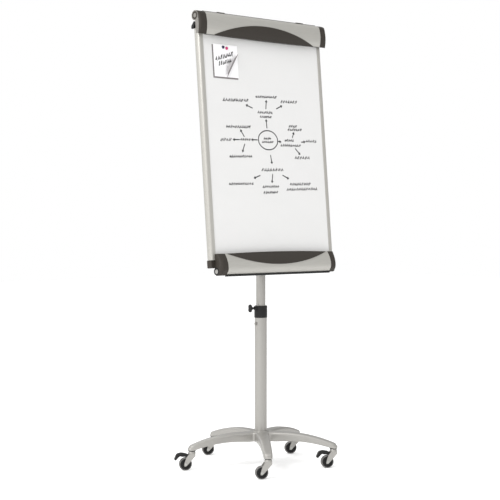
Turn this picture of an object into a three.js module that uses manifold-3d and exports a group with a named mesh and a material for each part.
// A rolling presentation whiteboard: a tilted steel board in a slim frame, with a hinged
// flip-chart clamp along its top and a pen tray along its bottom, on a two-stage column and
// a five-leg caster base.
// Millimetres, +Z up, the board faces -Y. The origin is on the floor, under the middle of
// the whole object's bounding box.
//
// Head pieces are drawn in the board's own plane: u runs across the board, v runs up it from
// the frame's lower edge, and w stands forward of the frame's front face.

import * as THREE from 'three';
import { mergeVertices } from 'three/addons/utils/BufferGeometryUtils.js';
import Module from 'manifold-3d';

const wasm = await Module();
wasm.setup();

// ---- Driving dimensions -----------------------------------------------------------------

const GAP = 0.3;                  // air left between pieces that touch
const COLUMN_X = 4.86;            // column axis in the part's frame
const COLUMN_Y = -35.96;

// Board and frame
const TILT = 5.17;                // degrees the board leans back
const BOARD_Y = -86.7;            // frame's lower front edge, from the column axis
const BOARD_Z = 847.4;
const RAIL_TOP = 912;             // length of the side rails
const RAIL_INNER = 309;           // half the visible width of the board
const RAIL_OUTER = 331.5;         // half the width of the frame
const RAIL_DEPTH = 31;
const CROSS_RAIL = 25;            // height of the top and bottom rails
const FACE_SINK = 2;              // the writing face lies this far behind the rail fronts
const SHEET = 0.8;                // thickness of the steel sheets
const STACK = 11.4;               // writing sheet, core and back sheet together
const PANEL_HALF = 319.4;         // half the width of the board inside the rails' grooves
const PANEL_LOW = 9;
const PANEL_HIGH = 906;

// Flip-chart clamp
const ROD_V = 957.5;              // height of the clamp's hinge rod, which lies at w = 0
const ROD_RADIUS = 8;
const NOSE_RADIUS = 20;           // round rear of the clamp, about the rod
const CLAMP_HALF = 307;           // half the length of the metal bar
const CAP_WIDTH = 36;             // width of the end caps of the clamp and the tray
const CLAMP_CAP_ROUND = 11;       // how far the caps' outer front edges are rounded
const TRAY_CAP_ROUND = 17;
const CLAMP_WALL = 2.4;
const PEG_U = 213;                // flip-chart pegs, either side of the middle
const PEG_LENGTH = 36;
const PEG_HEIGHT = 6;

// Pen tray
const TRAY_HALF = 278;
const TRAY_WALL = 2.4;
const TRAY_FLOOR = -14;           // where the pens lie
const TRAY_TOP = 23;
const TRAY_FOOT = -58;
const DISC_RADIUS = 16;
const DISC_W = 8;
const DISC_V = -46;
const LENS_HALF = 266;            // half the length of the two dark inlays
const INLAY = 1.6;                // how far the inlays stand proud

// Column
const UPPER_RADIUS = 19;
const UPPER_WALL = 2;
const UPPER_LOW = 300;
const UPPER_HIGH = 1078;
const LOWER_RADIUS = 25;
const LOWER_WALL = 2.6;
const LOWER_LOW = 112;
const LOWER_HIGH = 632;
const COLLAR_LOW = 604;
const COLLAR_HIGH = 653;
const COLLAR_RADIUS = 26.6;
const KNOB_Z = 643.5;
const KNOB_X = -58;               // middle of the clamp knob, from the column axis
const BUTTON_Z = 580;
const PIVOT_Z = 1110;             // tilt axis, straight above the column

// Base and casters
const LEG_COUNT = 5;
const FIRST_LEG = 18;             // degrees from +X to the first leg, so one leg points back
const LEG_REACH = 301.4;          // column axis to the casters' swivel axes
const HUB_RADIUS = 34;
const ARCH_START = 100;           // the legs are level out to here, then they arch down
const ARCH_TOP = 138;
const ARCH_TIP = 101;
const CASTER_HEADING = 150;       // degrees from +X to where every wheel trails
const TRAIL = 26;
const WHEEL_RADIUS = 26;
const WHEEL_WIDTH = 20;
const STEM_RADIUS = 5.5;
const PEDAL_PIN_X = 19.5;         // hinge of a brake pedal, from the caster's swivel axis
const PEDAL_PIN_Z = 61;
const BRAKED = ['left', 'front_right'];

const ROUND = 32;                 // sides of the large round pieces

const silver = { color: 0xc6c3bc, roughness: 0.4, metalness: 0.6 };
const trim = { color: 0x3b3933, roughness: 0.5, metalness: 0.0 };
const black = { color: 0x161616, roughness: 0.5, metalness: 0.0 };
const white = { color: 0xf4f5f5, roughness: 0.15, metalness: 0.0 };
const steel = { color: 0xa9a9a7, roughness: 0.3, metalness: 0.9 };
const board = { color: 0xd8d2c4, roughness: 0.8, metalness: 0.0 };
const rubber = { color: 0x8b8a86, roughness: 0.8, metalness: 0.0 };

// ---- Shape helpers ----------------------------------------------------------------------

const radians = THREE.MathUtils.degToRad;

function toSolid(geometry) {
  const bare = geometry.clone();
  bare.deleteAttribute('normal');
  bare.deleteAttribute('uv');
  const merged = mergeVertices(bare, 1e-4);
  return new wasm.Manifold(new wasm.Mesh({
    numProp: 3,
    vertProperties: new Float32Array(merged.attributes.position.array),
    triVerts: new Uint32Array(merged.index.array),
  }));
}

function toGeometry(solid) {
  const mesh = solid.getMesh();
  const geometry = new THREE.BufferGeometry();
  geometry.setAttribute('position', new THREE.BufferAttribute(new Float32Array(mesh.vertProperties), 3));
  geometry.setIndex(new THREE.BufferAttribute(new Uint32Array(mesh.triVerts), 1));
  geometry.computeVertexNormals();
  return geometry;
}

function join(first, ...others) {
  return toGeometry(others.reduce((solid, other) => solid.add(toSolid(other)), toSolid(first)));
}

function cut(first, ...tools) {
  return toGeometry(tools.reduce((solid, tool) => solid.subtract(toSolid(tool)), toSolid(first)));
}

function common(first, second) {
  return toGeometry(toSolid(first).intersect(toSolid(second)));
}

// An outline through points [a, b] or [a, b, radius]: a radius rounds that corner.
// It always runs anticlockwise, so that a hole in it is turned the right way too.
function outline(corners) {
  const clockwise = THREE.ShapeUtils.isClockWise(corners.map(([a, b]) => new THREE.Vector2(a, b)));
  const points = clockwise ? corners.toReversed() : corners;
  const shape = new THREE.Shape();
  points.forEach(([a, b, radius = 0], i) => {
    const here = new THREE.Vector2(a, b);
    const before = new THREE.Vector2(...points.at(i - 1)).sub(here).setLength(radius).add(here);
    const after = new THREE.Vector2(...points[(i + 1) % points.length]).sub(here).setLength(radius).add(here);
    if (i === 0) shape.moveTo(before.x, before.y);
    else shape.lineTo(before.x, before.y);
    if (radius > 0) shape.quadraticCurveTo(a, b, after.x, after.y);
  });
  shape.closePath();
  return shape;
}

function arcPoints(centreA, centreB, radius, fromDegrees, toDegrees, steps) {
  return Array.from({ length: steps + 1 }, (_, i) => {
    const angle = radians(fromDegrees + (toDegrees - fromDegrees) * i / steps);
    return [centreA + radius * Math.cos(angle), centreB + radius * Math.sin(angle)];
  });
}

// Points on a smooth curve through a few knots.
function smooth(knots, steps) {
  const curve = new THREE.CatmullRomCurve3(knots.map(([a, b]) => new THREE.Vector3(a, b, 0)));
  return curve.getPoints(steps).map((p) => [p.x, p.y]);
}

// A path moved sideways, to the left of its direction.
function offset(path, distance) {
  return path.map((point, i) => {
    const before = new THREE.Vector2(...path[Math.max(i - 1, 0)]);
    const after = new THREE.Vector2(...path[Math.min(i + 1, path.length - 1)]);
    const along = after.sub(before).normalize();
    return [point[0] - along.y * distance, point[1] + along.x * distance];
  });
}

// A strip of even thickness on the left of a path.
const strip = (path, thickness) => outline([...path, ...offset(path, thickness).reverse()]);

function extruded(shape, from, to, basis, segments) {
  const geometry = new THREE.ExtrudeGeometry(shape,
    { depth: to - from, bevelEnabled: false, curveSegments: segments });
  geometry.translate(0, 0, from);
  return geometry.applyMatrix4(new THREE.Matrix4().makeBasis(...basis));
}

const [EX, EY, EZ] = [new THREE.Vector3(1, 0, 0), new THREE.Vector3(0, 1, 0), new THREE.Vector3(0, 0, 1)];
const acrossX = (shape, from, to, segments = 3) => extruded(shape, from, to, [EY, EZ, EX], segments);
const acrossY = (shape, from, to, segments = 3) => extruded(shape, from, to, [EZ, EX, EY], segments);
const upZ = (shape, from, to, segments = 3) => extruded(shape, from, to, [EX, EY, EZ], segments);

// A head outline drawn as [w, v] points: the part's y runs backwards, against w.
const facing = (points) => points.map(([w, v, radius = 0]) => [-w, v, radius]);

function box(x0, x1, y0, y1, z0, z1) {
  return new THREE.BoxGeometry(x1 - x0, y1 - y0, z1 - z0)
    .translate((x0 + x1) / 2, (y0 + y1) / 2, (z0 + z1) / 2);
}

// A turned piece about Z, from [radius, z] points.
function turned(profile, segments = 24) {
  const points = profile.map(([r, z]) => new THREE.Vector2(r, z));
  return new THREE.LatheGeometry(points, segments).rotateX(Math.PI / 2);
}

const tube = (inner, outer, low, high, segments = 24) => turned(
  [[inner, low], [outer, low], [outer, high], [inner, high], [inner, low]], segments);

const rodZ = (radius, low, high, segments = 16) => turned(
  [[0, low], [radius, low], [radius, high], [0, high]], segments);

const rodX = (radius, from, to, y, z, segments = 16) =>
  rodZ(radius, from, to, segments).rotateY(Math.PI / 2).translate(0, y, z);

const rodY = (radius, from, to, x, z, segments = 16) =>
  rodZ(radius, from, to, segments).rotateX(-Math.PI / 2).translate(x, 0, z);

// A round knob with lobes, lying in the YZ plane.
function lobedKnob(lobes, tip, waist, from, to) {
  const steps = lobes * 8;
  const edge = Array.from({ length: steps }, (_, i) => {
    const angle = 2 * Math.PI * i / steps;
    const radius = (tip + waist) / 2 + (tip - waist) / 2 * Math.cos(lobes * angle);
    return [radius * Math.cos(angle), radius * Math.sin(angle)];
  });
  return acrossX(outline(edge), from, to);
}

// ---- Assembly ---------------------------------------------------------------------------

const whiteboard = new THREE.Group();
const stand = new THREE.Group();
stand.position.set(COLUMN_X, COLUMN_Y, 0);
whiteboard.add(stand);

const head = new THREE.Group();
head.position.set(0, BOARD_Y, BOARD_Z);
head.rotation.x = -radians(TILT);
stand.add(head);

function add(group, name, geometry, look) {
  const mesh = new THREE.Mesh(geometry, new THREE.MeshStandardMaterial(look));
  mesh.name = name;
  group.add(mesh);
}

const SIDES = [['left', -1], ['right', 1]];

// A geometry for the right side, or its mirror image for the left.
function sided(geometry, sign) {
  if (sign > 0) return geometry;
  const mirrored = toSolid(geometry).mirror([1, 0, 0]);
  return toGeometry(mirrored);
}

// ---- Board and frame --------------------------------------------------------------------

function sideRail() {
  const groove = FACE_SINK - GAP;
  const grooveBack = FACE_SINK + STACK + GAP;
  const shape = outline([
    [RAIL_INNER, 0, 1], [RAIL_OUTER - 5, 0, 4], [RAIL_OUTER, 10, 5], [RAIL_OUTER, 21, 5],
    [RAIL_OUTER - 5, RAIL_DEPTH, 4], [RAIL_INNER, RAIL_DEPTH, 1],
    [RAIL_INNER, grooveBack], [PANEL_HALF + GAP, grooveBack], [PANEL_HALF + GAP, groove],
    [RAIL_INNER, groove],
  ]);
  const cavity = outline([
    [RAIL_INNER + 3, grooveBack + 2.5], [RAIL_OUTER - 3, grooveBack + 2.5],
    [RAIL_OUTER - 3, 21], [RAIL_OUTER - 6, RAIL_DEPTH - 3], [RAIL_INNER + 3, RAIL_DEPTH - 3],
  ]);
  shape.holes.push(cavity);
  return upZ(shape, 0, RAIL_TOP);
}

// A rail across the board, holding one edge of it in a groove.
function crossRail(low, panelEdge) {
  const rail = box(-RAIL_INNER + GAP, RAIL_INNER - GAP, 0, RAIL_DEPTH, low, low + CROSS_RAIL);
  const grooveEnd = panelEdge > low + CROSS_RAIL / 2 ? low - 1 : low + CROSS_RAIL + 1;
  const grooveStart = panelEdge > low + CROSS_RAIL / 2 ? panelEdge + GAP : panelEdge - GAP;
  const groove = box(-RAIL_INNER, RAIL_INNER, FACE_SINK - GAP, FACE_SINK + STACK + GAP,
    Math.min(grooveStart, grooveEnd), Math.max(grooveStart, grooveEnd));
  const cavity = box(-RAIL_INNER, RAIL_INNER, FACE_SINK + STACK + 3, RAIL_DEPTH - 2.5,
    low + 2.5, low + CROSS_RAIL - 2.5);
  return cut(rail, groove, cavity);
}

function panelLayer(front, thickness) {
  return box(-PANEL_HALF, PANEL_HALF, front, front + thickness, PANEL_LOW, PANEL_HIGH);
}

// The spigot of a plug, inside the side rail's cavity.
function railSpigot(low, high) {
  return box(RAIL_INNER + 3.5, RAIL_OUTER - 6.5, FACE_SINK + STACK + 4, 25, low, high);
}

// The plug in a side rail's top, with the ear that holds the clamp's rod.
function railTopPlug() {
  const low = RAIL_TOP + GAP;
  const high = ROD_V - NOSE_RADIUS - 1.5;
  const body = acrossX(outline(facing([
    [-4, low, 1], [-4, high - 6, 3], [-13, high, 2], [-26, high, 4], [-RAIL_DEPTH + 1, low, 1],
  ])), RAIL_INNER - 16, RAIL_OUTER - 0.5);
  const neck = acrossX(outline(facing([
    [-4, high - 8], [-1, ROD_V - 10], [-12, ROD_V - 6], [-16, ROD_V - 12], [-16, high - 2],
  ])), RAIL_INNER - 16, RAIL_INNER - 6);
  const ring = rodX(13, RAIL_INNER - 16, RAIL_INNER - 6, 0, ROD_V);
  const bore = rodX(ROD_RADIUS + GAP, RAIL_INNER - 30, RAIL_INNER, 0, ROD_V);
  return cut(join(body, railSpigot(RAIL_TOP - 25, low + 1), neck, ring), bore);
}

// The plug in a side rail's foot, with an arm inwards that carries the tray's end.
function railFootPlug() {
  const body = acrossX(outline(facing([
    [-2, -GAP, 1], [-2, -31, 5], [-RAIL_DEPTH + 2, -31, 5], [-RAIL_DEPTH + 2, -GAP, 1],
  ])), TRAY_HALF + 12, RAIL_OUTER - 0.5);
  return join(body, railSpigot(-GAP - 1, 25));
}

// A hat-section beam across the back, which carries the pivot bracket.
function rearBeam() {
  const back = RAIL_DEPTH;
  const front = FACE_SINK + STACK + GAP;
  const shape = strip([[front, 240], [back, 240], [back, 300], [front, 300]], 2);
  return acrossX(shape, -RAIL_INNER + GAP, RAIL_INNER - GAP);
}

// The tilt axis, seen from the board: its v, and its depth behind the frame's front.
const pivotFromBoard = new THREE.Vector3(0, -BOARD_Y, PIVOT_Z - BOARD_Z)
  .applyAxisAngle(EX, radians(TILT));
const PIVOT_DEPTH = pivotFromBoard.y;
const PIVOT_V = pivotFromBoard.z;
const EAR_INNER = 8;
const EAR_OUTER = 12;

function pivotBracket() {
  const plateBack = RAIL_DEPTH + GAP + 3.5;
  const plate = acrossY(outline([
    [PIVOT_V - 50, -48, 8], [PIVOT_V - 50, 48, 8], [PIVOT_V + 50, 48, 8], [PIVOT_V + 50, -48, 8],
  ]), RAIL_DEPTH + GAP, plateBack);
  const ear = outline([
    [plateBack - 1, PIVOT_V - 24], [PIVOT_DEPTH, PIVOT_V - 14],
    ...arcPoints(PIVOT_DEPTH, PIVOT_V, 14, -80, 80, 8),
    [PIVOT_DEPTH, PIVOT_V + 14], [plateBack - 1, PIVOT_V + 24],
  ]);
  const bore = rodX(5.3, -20, 20, PIVOT_DEPTH, PIVOT_V);
  return cut(join(plate, acrossX(ear, -EAR_OUTER, -EAR_INNER), acrossX(ear, EAR_INNER, EAR_OUTER)), bore);
}

function buildBoard() {
  for (const [side, sign] of SIDES) {
    add(head, `side_rail_${side}`, sided(sideRail(), sign), silver);
    add(head, `rail_top_plug_${side}`, sided(railTopPlug(), sign), black);
    add(head, `rail_foot_plug_${side}`, sided(railFootPlug(), sign), trim);
  }
  add(head, 'top_rail', crossRail(RAIL_TOP - CROSS_RAIL, PANEL_HIGH), silver);
  add(head, 'bottom_rail', crossRail(0, PANEL_LOW), silver);
  add(head, 'writing_sheet', panelLayer(FACE_SINK, SHEET), white);
  add(head, 'board_core', panelLayer(FACE_SINK + SHEET + GAP, STACK - 2 * SHEET - 2 * GAP), board);
  add(head, 'back_sheet', panelLayer(FACE_SINK + STACK - SHEET, SHEET), steel);
  add(head, 'rear_beam', rearBeam(), silver);
  add(head, 'pivot_bracket', pivotBracket(), silver);
}

// ---- Flip-chart clamp -------------------------------------------------------------------

// The bar's front face as [w, v] points, from its lower edge up over the nose to the rear.
const clampFront = smooth([[20, 884], [26.5, 905], [29, 932], [25.5, 960]], 8);
const clampTop = [[20.5, 969.5], ...arcPoints(0, ROD_V, NOSE_RADIUS, 62, 165, 8)];
const clampSkin = [...clampFront, ...clampTop];

function clampBar() {
  const path = [[3, 890], ...clampSkin];
  const bar = acrossX(outline(facing([...path, ...offset(path, CLAMP_WALL).reverse()])),
    -CLAMP_HALF, CLAMP_HALF);
  const pegGroove = box(-CLAMP_HALF + 4, CLAMP_HALF - 4, -2, 2, ROD_V + NOSE_RADIUS - 1.2, ROD_V + 30);
  return cut(bar, pegGroove);
}

// A lens between two arcs over the same span, as [u, v] points.
function lens(half, base, sagBelow, riseAbove, steps = 20) {
  const bow = (height) => Array.from({ length: steps + 1 }, (_, i) => {
    const t = 2 * i / steps - 1;
    return [half * t, base + height * (1 - t * t)];
  });
  return outline([...bow(-sagBelow), ...bow(riseAbove).reverse().slice(1, -1)]);
}

// A thin inlay that follows a curved face and has the outline of a lens.
function inlay(facePath, shape) {
  const outside = offset(facePath, -GAP);
  const skin = acrossX(outline(facing([...outside, ...offset(facePath, -GAP - INLAY).reverse()])),
    -LENS_HALF - 5, LENS_HALF + 5);
  return common(skin, acrossY(new THREE.Shape(shape.getPoints().map((p) => p.set(p.y, p.x))), -80, 20));
}

// An end cap: a side outline pushed out along its bar, with the front drawn back towards
// the outer end on a quarter circle.
function endCap(side, inner, outer, rounding, frontDepth) {
  const rows = 5;
  const sweep = radians(75);
  const geometry = new THREE.ExtrudeGeometry(side,
    { depth: 1, steps: rows, bevelEnabled: false, curveSegments: 3 });
  geometry.applyMatrix4(new THREE.Matrix4().makeBasis(EY, EZ, EX));
  const place = geometry.attributes.position;
  for (let i = 0; i < place.count; i += 1) {
    const row = Math.round(place.getX(i) * rows);
    const angle = sweep * Math.max(row - 1, 0) / (rows - 1);
    const drawnBack = 1 - rounding * (1 - Math.cos(angle)) / frontDepth;
    const reach = outer - rounding + rounding * Math.sin(angle) / Math.sin(sweep);
    place.setX(i, row === 0 ? inner : reach);
    if (place.getY(i) < 0) place.setY(i, place.getY(i) * drawnBack);
  }
  return geometry;
}

function clampEndCap() {
  const rear = arcPoints(0, ROD_V, NOSE_RADIUS, 165, 270, 6).slice(1);
  const side = outline(facing([[1, 888, 2], ...clampSkin, ...rear, [1, 935, 1]]));
  const cap = endCap(side, CLAMP_HALF + GAP, CLAMP_HALF + CAP_WIDTH, CLAMP_CAP_ROUND, 29);
  const rodHole = rodX(ROD_RADIUS + GAP, CLAMP_HALF - 5, CLAMP_HALF + 16, 0, ROD_V);
  return cut(cap, rodHole);
}

function peg() {
  const low = ROD_V + NOSE_RADIUS + GAP;
  const saddle = acrossX(outline([
    [-8, low, 1], [9, low, 1], [6, low + PEG_HEIGHT - 2, 3], [1, low + PEG_HEIGHT, 2],
    [-4, low + PEG_HEIGHT, 2],
  ]), -PEG_LENGTH / 2, PEG_LENGTH / 2, 3);
  const foot = box(-PEG_LENGTH / 2, PEG_LENGTH / 2, -1.6, 1.6, low - 1.1, low + 1);
  return join(saddle, foot);
}

function buildClamp() {
  add(head, 'clamp_rod', rodX(ROD_RADIUS, -CLAMP_HALF - 15, CLAMP_HALF + 15, 0, ROD_V), steel);
  add(head, 'clamp_bar', clampBar(), silver);
  add(head, 'clamp_inlay', inlay(clampFront, lens(LENS_HALF, 887, 0, 52)), trim);
  add(head, 'clamp_grip_strip', box(-CLAMP_HALF + 5, CLAMP_HALF - 5, -2.7, -0.5, 886, 894.5), rubber);
  for (const [side, sign] of SIDES) {
    add(head, `clamp_end_cap_${side}`, sided(clampEndCap(), sign), trim);
    add(head, `peg_${side}`, peg().translate(sign * PEG_U, 0, 0), trim);
  }
}

// ---- Pen tray ---------------------------------------------------------------------------

// The tray's front face as [w, v] points, from its foot up.
const trayFront = smooth([[24, TRAY_FOOT], [36, -42], [37, -18], [30, 4], [20, TRAY_TOP]], 12);

function trayBody() {
  const inner = offset(trayFront, TRAY_WALL);
  const above = inner.filter(([, v]) => v > TRAY_FLOOR);
  const below = inner.filter(([, v]) => v < TRAY_FLOOR - TRAY_WALL && v > TRAY_FOOT + TRAY_WALL);
  const wallW = GAP + TRAY_WALL;
  const shape = outline(facing([
    [GAP, TRAY_FOOT], ...trayFront, ...above.toReversed(), [above[0][0] - 2.5, TRAY_FLOOR],
    [wallW, TRAY_FLOOR], [wallW, TRAY_TOP], [GAP, TRAY_TOP],
  ]));
  shape.holes.push(outline(facing([
    [wallW, TRAY_FOOT + TRAY_WALL], [below[0][0] - 2, TRAY_FOOT + TRAY_WALL], ...below,
    [below.at(-1)[0], TRAY_FLOOR - TRAY_WALL], [wallW, TRAY_FLOOR - TRAY_WALL],
  ])));
  return acrossX(shape, -TRAY_HALF, TRAY_HALF);
}

function trayEndCap() {
  const disc = arcPoints(DISC_W, DISC_V, DISC_RADIUS, 180, 275, 8);
  const side = outline(facing([
    ...disc, [23, TRAY_FOOT - 3, 2], ...trayFront.slice(1), [GAP, TRAY_TOP, 2], [GAP, -38],
  ]));
  return endCap(side, TRAY_HALF + GAP, TRAY_HALF + CAP_WIDTH, TRAY_CAP_ROUND, 38);
}

function buildTray() {
  add(head, 'tray_body', trayBody(), silver);
  add(head, 'tray_inlay', inlay(trayFront, lens(LENS_HALF, TRAY_TOP - 1, 46, 8)), trim);
  add(head, 'tray_lip', acrossX(outline(facing([
    [12, TRAY_FOOT - GAP], [24, TRAY_FOOT - GAP, 1], [20, TRAY_FOOT - 7, 2], [12, TRAY_FOOT - 7],
  ])), -TRAY_HALF, TRAY_HALF), black);
  for (const [side, sign] of SIDES) {
    add(head, `tray_end_cap_${side}`, sided(trayEndCap(), sign), trim);
  }
}

// ---- Note and magnets -------------------------------------------------------------------

const NOTE = { u0: -266, u1: -136, v0: 718, v1: 860, thickness: 0.4 };
const MAGNETS = [['blue', -209, 843.5], ['pink', -191, 840.5]];
const MAGNET_RADIUS = 6.5;
const MAGNET_HEIGHT = 6;

function buildNote() {
  const noteBack = FACE_SINK - GAP;
  add(head, 'paper_note', box(NOTE.u0, NOTE.u1, noteBack - NOTE.thickness, noteBack, NOTE.v0, NOTE.v1), white);
  const magnetBack = noteBack - NOTE.thickness - GAP;
  for (const [colour, u, v] of MAGNETS) {
    const magnet = rodY(MAGNET_RADIUS, magnetBack - MAGNET_HEIGHT, magnetBack, u, v, 20);
    add(head, `magnet_${colour}`, magnet, colour === 'blue' ? { color: 0x23233f } : { color: 0xc01f64 });
  }
}

// ---- Column -----------------------------------------------------------------------------

function lowerColumn() {
  const inner = LOWER_RADIUS - LOWER_WALL;
  const shell = turned([
    [5.5, LOWER_LOW], [LOWER_RADIUS, LOWER_LOW], [LOWER_RADIUS, LOWER_HIGH], [inner, LOWER_HIGH],
    [inner, LOWER_LOW + 8], [5.5, LOWER_LOW + 8], [5.5, LOWER_LOW],
  ], ROUND);
  return cut(shell, rodX(4, -40, -10, 0, BUTTON_Z, 12));
}

function collar() {
  const bore = UPPER_RADIUS + GAP;
  const ring = turned([
    [LOWER_RADIUS + GAP, COLLAR_LOW], [COLLAR_RADIUS - 1, COLLAR_LOW], [COLLAR_RADIUS, COLLAR_LOW + 1],
    [COLLAR_RADIUS, COLLAR_HIGH - 2], [COLLAR_RADIUS - 2, COLLAR_HIGH], [bore, COLLAR_HIGH],
    [bore, LOWER_HIGH + GAP], [LOWER_RADIUS + GAP, LOWER_HIGH + GAP], [LOWER_RADIUS + GAP, COLLAR_LOW],
  ], ROUND);
  const boss = rodX(8, -34, -22, 0, KNOB_Z);
  return cut(join(ring, boss), rodZ(bore, COLLAR_LOW, COLLAR_HIGH + 5, ROUND),
    rodX(4.3, -40, -10, 0, KNOB_Z, 12));
}

function clampKnob() {
  const screw = rodX(4, -54, -UPPER_RADIUS - 4, 0, KNOB_Z, 12);
  const hub = rodX(8, KNOB_X + 4, KNOB_X + 12, 0, KNOB_Z);
  const grip = lobedKnob(2, 16, 7.5, KNOB_X - 4, KNOB_X + 5).rotateX(Math.PI / 2).translate(0, 0, KNOB_Z);
  return join(grip, hub, screw);
}

function lockButton() {
  const shank = rodX(3.6, -LOWER_RADIUS - 1, -UPPER_RADIUS - 0.6, 0, BUTTON_Z, 12);
  const dome = turned([
    [0, LOWER_RADIUS + 0.6], [6, LOWER_RADIUS + 0.6], [6, LOWER_RADIUS + 5], [4, LOWER_RADIUS + 7],
    [0, LOWER_RADIUS + 7.6],
  ], 12).rotateY(-Math.PI / 2).translate(0, 0, BUTTON_Z);
  return join(shank, dome);
}

// The casting in the column's top, with the tongue that the board tilts on.
function tiltHead() {
  const spigot = rodZ(UPPER_RADIUS - UPPER_WALL - GAP, UPPER_HIGH - 38, UPPER_HIGH + 1);
  const flange = turned([
    [0, UPPER_HIGH + GAP], [UPPER_RADIUS + 1, UPPER_HIGH + GAP], [UPPER_RADIUS + 1, UPPER_HIGH + 4],
    [UPPER_RADIUS - 2, UPPER_HIGH + 7], [0, UPPER_HIGH + 7],
  ]);
  const tongue = acrossX(outline([
    [-15, UPPER_HIGH + 5], ...arcPoints(0, PIVOT_Z, 15, 180, 0, 10), [15, UPPER_HIGH + 5],
  ]), -EAR_INNER + 1, EAR_INNER - 1);
  return cut(join(spigot, flange, tongue), rodX(5.3, -20, 20, 0, PIVOT_Z));
}

function tiltBolt() {
  const shank = rodX(5, -14, 24, 0, PIVOT_Z, 12);
  const hexagon = outline(arcPoints(0, PIVOT_Z, 9.5, 0, 300, 5));
  return join(shank, acrossX(hexagon, -EAR_OUTER - 6, -EAR_OUTER - GAP));
}

function tiltKnob() {
  const hub = rodX(10, EAR_OUTER + GAP, 20, 0, 0);
  const grip = lobedKnob(5, 21, 15, 19, 32);
  return cut(join(hub, grip), rodX(5.3, 0, 25, 0, 0, 12)).translate(0, 0, PIVOT_Z);
}

function buildColumn() {
  const lowerBore = LOWER_RADIUS - LOWER_WALL;
  const upperBore = UPPER_RADIUS - UPPER_WALL;
  add(stand, 'lower_column', lowerColumn(), silver);
  add(stand, 'column_bush', tube(UPPER_RADIUS + GAP, lowerBore - GAP, LOWER_HIGH - 40, LOWER_HIGH), black);
  add(stand, 'column_collar', collar(), black);
  add(stand, 'lock_button', lockButton(), steel);
  add(stand, 'clamp_shoe', rodX(3.8, -UPPER_RADIUS - 3.4, -UPPER_RADIUS - 0.4, 0, KNOB_Z, 12), rubber);
  add(stand, 'clamp_knob', clampKnob(), black);
  add(stand, 'upper_column', tube(upperBore, UPPER_RADIUS, UPPER_LOW, UPPER_HIGH, ROUND), silver);
  add(stand, 'column_foot_bush', turned([
    [6, UPPER_LOW - 16], [lowerBore - GAP, UPPER_LOW - 16], [lowerBore - GAP, UPPER_LOW - GAP],
    [upperBore - GAP, UPPER_LOW - GAP], [upperBore - GAP, UPPER_LOW + 25], [6, UPPER_LOW + 25],
    [6, UPPER_LOW - 16],
  ]), black);
  add(stand, 'tilt_head', tiltHead(), silver);
  add(stand, 'tilt_bolt', tiltBolt(), steel);
  add(stand, 'tilt_knob', tiltKnob(), black);
}

// ---- Base -------------------------------------------------------------------------------

const archTop = (r) => ARCH_TOP - (ARCH_TOP - ARCH_TIP)
  * (Math.max(r - ARCH_START, 0) / (LEG_REACH - ARCH_START)) ** 2;
const legDepth = (r) => THREE.MathUtils.mapLinear(r, 60, LEG_REACH, 38, 22);
const legHalfWidth = (r) => THREE.MathUtils.mapLinear(r, 0, LEG_REACH, 27, 18);

const CORNER_STEPS = 3;

// A leg's section at one station: a flat underside, upright sides and a rounded top.
function legSection(r, half, low, high) {
  const round = Math.min(11, half * 0.6);
  const corner = (side) => arcPoints(side * (half - round), high - round, round, 0, 90, CORNER_STEPS)
    .map(([y, z]) => [side > 0 ? y : -y - 2 * (half - round), z]);
  const ring = [[-half, low], [half, low], ...corner(1), ...corner(-1).reverse()];
  return ring.map(([y, z]) => new THREE.Vector3(r, y, z));
}

// A closed skin over a row of sections with the same number of points.
function loft(rings) {
  const count = rings[0].length;
  const positions = rings.flat().flatMap((p) => [p.x, p.y, p.z]);
  const index = [];
  for (let i = 0; i + 1 < rings.length; i += 1) {
    for (let k = 0; k < count; k += 1) {
      const [a, b] = [i * count + k, i * count + (k + 1) % count];
      index.push(a, b, a + count, b, b + count, a + count);
    }
  }
  const last = (rings.length - 1) * count;
  for (let k = 1; k + 1 < count; k += 1) {
    index.push(0, k + 1, k, last, last + k, last + k + 1);
  }
  const geometry = new THREE.BufferGeometry();
  geometry.setAttribute('position', new THREE.Float32BufferAttribute(positions, 3));
  geometry.setIndex(index);
  return geometry;
}

function leg() {
  const straight = [10, 100, 140, 175, 210, 240, 270, LEG_REACH];
  const roundEnd = [35, 62, 82].map((degrees) => radians(degrees));
  const rings = straight.map((r) => legSection(r, legHalfWidth(r), archTop(r) - legDepth(r), archTop(r)));
  const tip = legHalfWidth(LEG_REACH);
  for (const angle of roundEnd) {
    const r = LEG_REACH + tip * Math.sin(angle);
    const low = ARCH_TIP - legDepth(LEG_REACH);
    const drop = 5 * (1 - Math.cos(angle));
    rings.push(legSection(r, tip * Math.cos(angle), low, ARCH_TIP - 1 - drop));
  }
  return loft(rings);
}

function legHollow() {
  const wall = 3;
  const stations = [44, 110, 160, 200, 240, 272];
  return loft(stations.map((r) => legSection(r, legHalfWidth(r) - wall,
    archTop(r) - legDepth(r) - 5, archTop(r) - wall)));
}

function eachLeg(make) {
  for (let i = 0; i < LEG_COUNT; i += 1) make(radians(FIRST_LEG + 360 / LEG_COUNT * i), i);
}

function baseStar() {
  const hub = turned([
    [0, 101], [HUB_RADIUS, 101], [HUB_RADIUS, ARCH_TOP - 2], [HUB_RADIUS - 3, ARCH_TOP + 3],
    [0, ARCH_TOP + 3],
  ], ROUND);
  const solids = [];
  const tools = [rodZ(LOWER_RADIUS + GAP, LOWER_LOW - GAP, ARCH_TOP + 20, ROUND), rodZ(5.6, 90, 120, 12)];
  eachLeg((angle) => {
    solids.push(leg().rotateZ(angle));
    tools.push(legHollow().rotateZ(angle));
    tools.push(rodZ(STEM_RADIUS + GAP, 60, 94, 12).translate(LEG_REACH, 0, 0).rotateZ(angle));
  });
  return cut(join(hub, ...solids), ...tools);
}

function baseBolt() {
  const hexagon = outline(arcPoints(0, 0, 9.5, 0, 300, 5));
  return join(rodZ(5, 95, LOWER_LOW + 18, 12), upZ(hexagon, 93, 101 - GAP));
}

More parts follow.
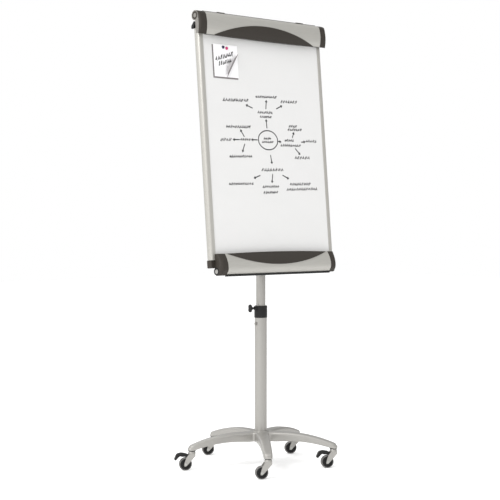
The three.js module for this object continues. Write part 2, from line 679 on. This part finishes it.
// ---- Casters ----------------------------------------------------------------------------

// A caster about its swivel axis, with the wheel trailing along +X.
function casterFork() {
  const armOuter = WHEEL_WIDTH / 2 + 4.2;
  const armInner = WHEEL_WIDTH / 2 + 1.4;
  const side = outline([
    [-13, 66, 3], [-13, 58, 3], [TRAIL - 9, WHEEL_RADIUS - 4, 3], [TRAIL - 5, WHEEL_RADIUS - 9, 3],
    [TRAIL + 6, WHEEL_RADIUS - 9, 3], [TRAIL + 9, WHEEL_RADIUS, 3], [TRAIL + 4, 48, 6], [13, 66, 4],
  ].map(([x, z, radius]) => [z, x, radius]));
  const arms = [acrossY(side, -armOuter, -armInner, 2), acrossY(side, armInner, armOuter, 2)];
  const crown = box(-12, 13, -armOuter + 0.5, armOuter - 0.5, 56, 66);
  const ring = turned([[0, 64], [15, 64], [15, 72], [12, 76.5], [0, 76.5]], 20);
  const stem = rodZ(STEM_RADIUS, 70, 93, 12);
  const axleHole = rodY(4.2, -20, 20, TRAIL, WHEEL_RADIUS, 12);
  return cut(join(crown, ...arms, ring, stem), axleHole);
}

function casterWheel() {
  const [half, hub] = [WHEEL_WIDTH / 2, 9];
  return turned([
    [4.2, -half - 0.8], [hub, -half - 0.8], [hub + 2, -half],
    [WHEEL_RADIUS - 3, -half], [WHEEL_RADIUS, -half + 3.5], [WHEEL_RADIUS, half - 3.5],
    [WHEEL_RADIUS - 3, half], [hub + 2, half], [hub, half + 0.8],
    [4.2, half + 0.8], [4.2, -half - 0.8],
  ], 28).rotateX(Math.PI / 2).translate(TRAIL, 0, WHEEL_RADIUS);
}

function casterAxle() {
  const half = WHEEL_WIDTH / 2 + 4.5;
  return turned([
    [0, -half - 2], [6, -half - 2], [6, -half], [3.9, -half], [3.9, half], [6, half],
    [6, half + 2], [0, half + 2],
  ], 12).rotateX(Math.PI / 2).translate(TRAIL, 0, WHEEL_RADIUS);
}

// A foot pedal over the wheel, which tips on two trunnions between the fork's arms.
function brakePedal() {
  const side = outline([
    [15.6, 58.5, 1], [36, 57, 2], [50, 58, 4], [60, 48, 3], [66, 41, 2], [72, 45, 2], [62, 68, 6],
    [44, 72, 4], [24, 68, 2], [15.6, 63.5, 1],
  ].map(([x, z, radius]) => [z, x, radius]));
  const trunnion = rodY(2.2, -WHEEL_WIDTH / 2 - 1, WHEEL_WIDTH / 2 + 1, PEDAL_PIN_X, PEDAL_PIN_Z, 10);
  return join(acrossY(side, -8.5, 8.5, 2), trunnion);
}

function buildCasters() {
  const names = ['right', 'rear', 'left', 'front_left', 'front_right'];
  eachLeg((angle, i) => {
    const caster = new THREE.Group();
    caster.position.set(LEG_REACH * Math.cos(angle), LEG_REACH * Math.sin(angle), 0);
    caster.rotation.z = radians(CASTER_HEADING);
    stand.add(caster);
    add(caster, `caster_fork_${names[i]}`, casterFork(), silver);
    add(caster, `caster_wheel_${names[i]}`, casterWheel(), black);
    add(caster, `caster_axle_${names[i]}`, casterAxle(), steel);
    if (BRAKED.includes(names[i])) add(caster, `brake_pedal_${names[i]}`, brakePedal(), black);
  });
}

buildBoard();
buildClamp();
buildTray();
buildNote();
buildColumn();
add(stand, 'base_star', baseStar(), silver);
add(stand, 'base_bolt', baseBolt(), steel);
buildCasters();

export default whiteboard;
